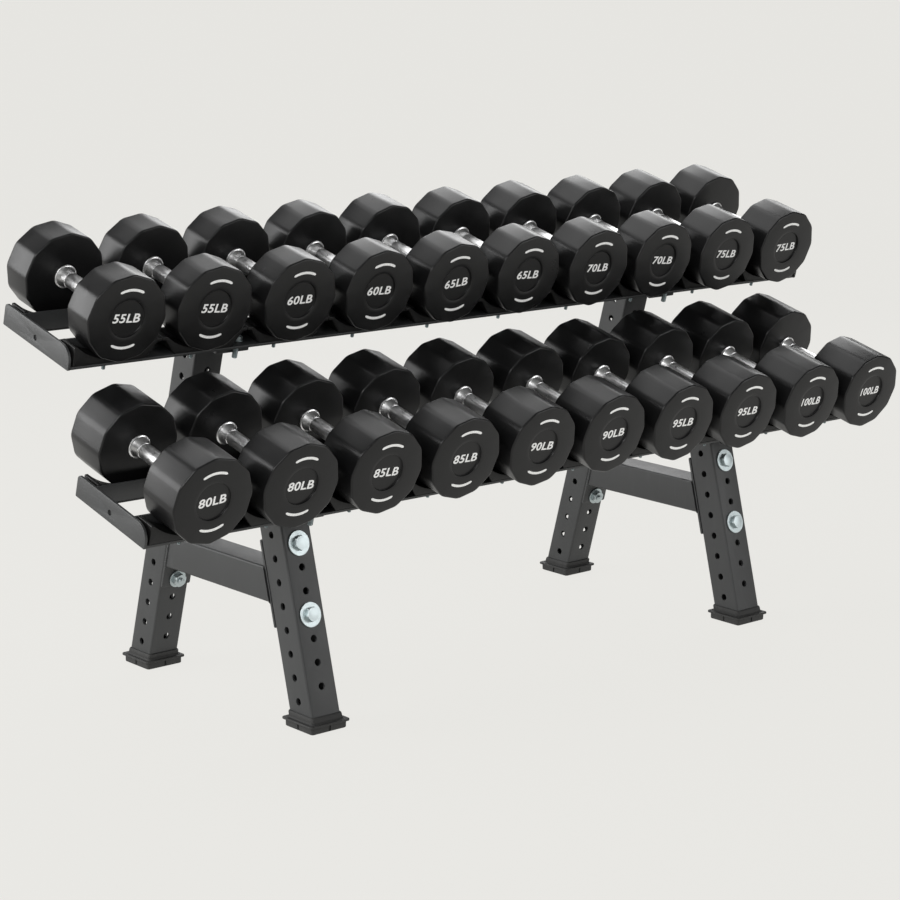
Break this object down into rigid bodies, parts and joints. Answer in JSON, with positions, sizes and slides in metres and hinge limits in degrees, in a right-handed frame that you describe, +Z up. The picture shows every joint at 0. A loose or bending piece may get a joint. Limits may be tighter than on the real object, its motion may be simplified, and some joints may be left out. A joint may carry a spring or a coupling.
{
  "type": "dumbbell rack",
  "caption": "Two-tier A-frame dumbbell rack of square punched tube, with sloping trays of moulded cradles that hold twelve-sided dumbbells.",
  "frame": {"origin": "on the floor, in the middle of the loaded rack's outline", "axes": "+X along the trays to the right as seen from the front, +Y to the rear, +Z up"},
  "size_m": [2.197, 0.8, 1.0579],
  "materials": {
    "frame_paint": "satin black powder coat",
    "cradle_plastic": "matt black moulded plastic",
    "foot_rubber": "matt black rubber",
    "dumbbell_urethane": "satin black urethane cast over iron heads, on a chromed steel handle",
    "zinc": "bright zinc plate"
  },
  "bodies": {
    "rack": {"crossbar_left": "frame_paint", "crossbar_right": "frame_paint", "front_bolt_bottom_left": "zinc", "front_bolt_bottom_right": "zinc", "front_bolt_top_left": "zinc", "front_bolt_top_right": "zinc", "front_foot_left": "foot_rubber", "front_foot_right": "foot_rubber", "front_leg_left": "frame_paint", "front_leg_right": "frame_paint", "lower_bracket_left": "frame_paint", "lower_bracket_right": "frame_paint", "lower_end_plate_left": "frame_paint", "lower_end_plate_right": "frame_paint", "lower_front_cradles": "cradle_plastic", "lower_front_rail": "frame_paint", "lower_rear_cradles": "cradle_plastic", "lower_rear_rail": "frame_paint", "rear_bolt_bottom_left": "zinc", "rear_bolt_bottom_right": "zinc", "rear_bolt_top_left": "zinc", "rear_bolt_top_right": "zinc", "rear_foot_left": "foot_rubber", "rear_foot_right": "foot_rubber", "rear_post_left": "frame_paint", "rear_post_right": "frame_paint", "upper_bracket_left": "frame_paint", "upper_bracket_right": "frame_paint", "upper_end_plate_left": "frame_paint", "upper_end_plate_right": "frame_paint", "upper_front_cradles": "cradle_plastic", "upper_front_rail": "frame_paint", "upper_rear_cradles": "cradle_plastic", "upper_rear_rail": "frame_paint"},
    "lower_dumbbell_01": {"lower_dumbbell_01": "dumbbell_urethane"},
    "lower_dumbbell_02": {"lower_dumbbell_02": "dumbbell_urethane"},
    "lower_dumbbell_03": {"lower_dumbbell_03": "dumbbell_urethane"},
    "lower_dumbbell_04": {"lower_dumbbell_04": "dumbbell_urethane"},
    "lower_dumbbell_05": {"lower_dumbbell_05": "dumbbell_urethane"},
    "lower_dumbbell_06": {"lower_dumbbell_06": "dumbbell_urethane"},
    "lower_dumbbell_07": {"lower_dumbbell_07": "dumbbell_urethane"},
    "lower_dumbbell_08": {"lower_dumbbell_08": "dumbbell_urethane"},
    "lower_dumbbell_09": {"lower_dumbbell_09": "dumbbell_urethane"},
    "lower_dumbbell_10": {"lower_dumbbell_10": "dumbbell_urethane"},
    "upper_dumbbell_01": {"upper_dumbbell_01": "dumbbell_urethane"},
    "upper_dumbbell_02": {"upper_dumbbell_02": "dumbbell_urethane"},
    "upper_dumbbell_03": {"upper_dumbbell_03": "dumbbell_urethane"},
    "upper_dumbbell_04": {"upper_dumbbell_04": "dumbbell_urethane"},
    "upper_dumbbell_05": {"upper_dumbbell_05": "dumbbell_urethane"},
    "upper_dumbbell_06": {"upper_dumbbell_06": "dumbbell_urethane"},
    "upper_dumbbell_07": {"upper_dumbbell_07": "dumbbell_urethane"},
    "upper_dumbbell_08": {"upper_dumbbell_08": "dumbbell_urethane"},
    "upper_dumbbell_09": {"upper_dumbbell_09": "dumbbell_urethane"},
    "upper_dumbbell_10": {"upper_dumbbell_10": "dumbbell_urethane"}
  },
  "joints": [
    {"name": "lower_dumbbell_01_lift", "type": "slide", "parent": "rack", "child": "lower_dumbbell_01", "axis": [0, -0.7071, 0.7071], "range_m": [0, 0.04]},
    {"name": "lower_dumbbell_02_lift", "type": "slide", "parent": "rack", "child": "lower_dumbbell_02", "axis": [0, -0.7071, 0.7071], "range_m": [0, 0.04]},
    {"name": "lower_dumbbell_03_lift", "type": "slide", "parent": "rack", "child": "lower_dumbbell_03", "axis": [0, -0.7071, 0.7071], "range_m": [0, 0.04]},
    {"name": "lower_dumbbell_04_lift", "type": "slide", "parent": "rack", "child": "lower_dumbbell_04", "axis": [0, -0.7071, 0.7071], "range_m": [0, 0.04]},
    {"name": "lower_dumbbell_05_lift", "type": "slide", "parent": "rack", "child": "lower_dumbbell_05", "axis": [0, -0.7071, 0.7071], "range_m": [0, 0.04]},
    {"name": "lower_dumbbell_06_lift", "type": "slide", "parent": "rack", "child": "lower_dumbbell_06", "axis": [0, -0.7071, 0.7071], "range_m": [0, 0.04]},
    {"name": "lower_dumbbell_07_lift", "type": "slide", "parent": "rack", "child": "lower_dumbbell_07", "axis": [0, -0.7071, 0.7071], "range_m": [0, 0.04]},
    {"name": "lower_dumbbell_08_lift", "type": "slide", "parent": "rack", "child": "lower_dumbbell_08", "axis": [0, -0.7071, 0.7071], "range_m": [0, 0.04]},
    {"name": "lower_dumbbell_09_lift", "type": "slide", "parent": "rack", "child": "lower_dumbbell_09", "axis": [0, -0.7071, 0.7071], "range_m": [0, 0.04]},
    {"name": "lower_dumbbell_10_lift", "type": "slide", "parent": "rack", "child": "lower_dumbbell_10", "axis": [0, -0.7071, 0.7071], "range_m": [0, 0.04]},
    {"name": "upper_dumbbell_01_lift", "type": "slide", "parent": "rack", "child": "upper_dumbbell_01", "axis": [0, -0.2588, 0.9659], "range_m": [0, 0.25]},
    {"name": "upper_dumbbell_02_lift", "type": "slide", "parent": "rack", "child": "upper_dumbbell_02", "axis": [0, -0.2588, 0.9659], "range_m": [0, 0.25]},
    {"name": "upper_dumbbell_03_lift", "type": "slide", "parent": "rack", "child": "upper_dumbbell_03", "axis": [0, -0.2588, 0.9659], "range_m": [0, 0.25]},
    {"name": "upper_dumbbell_04_lift", "type": "slide", "parent": "rack", "child": "upper_dumbbell_04", "axis": [0, -0.2588, 0.9659], "range_m": [0, 0.25]},
    {"name": "upper_dumbbell_05_lift", "type": "slide", "parent": "rack", "child": "upper_dumbbell_05", "axis": [0, -0.2588, 0.9659], "range_m": [0, 0.25]},
    {"name": "upper_dumbbell_06_lift", "type": "slide", "parent": "rack", "child": "upper_dumbbell_06", "axis": [0, -0.2588, 0.9659], "range_m": [0, 0.25]},
    {"name": "upper_dumbbell_07_lift", "type": "slide", "parent": "rack", "child": "upper_dumbbell_07", "axis": [0, -0.2588, 0.9659], "range_m": [0, 0.25]},
    {"name": "upper_dumbbell_08_lift", "type": "slide", "parent": "rack", "child": "upper_dumbbell_08", "axis": [0, -0.2588, 0.9659], "range_m": [0, 0.25]},
    {"name": "upper_dumbbell_09_lift", "type": "slide", "parent": "rack", "child": "upper_dumbbell_09", "axis": [0, -0.2588, 0.9659], "range_m": [0, 0.25]},
    {"name": "upper_dumbbell_10_lift", "type": "slide", "parent": "rack", "child": "upper_dumbbell_10", "axis": [0, -0.2588, 0.9659], "range_m": [0, 0.25]}
  ]
}
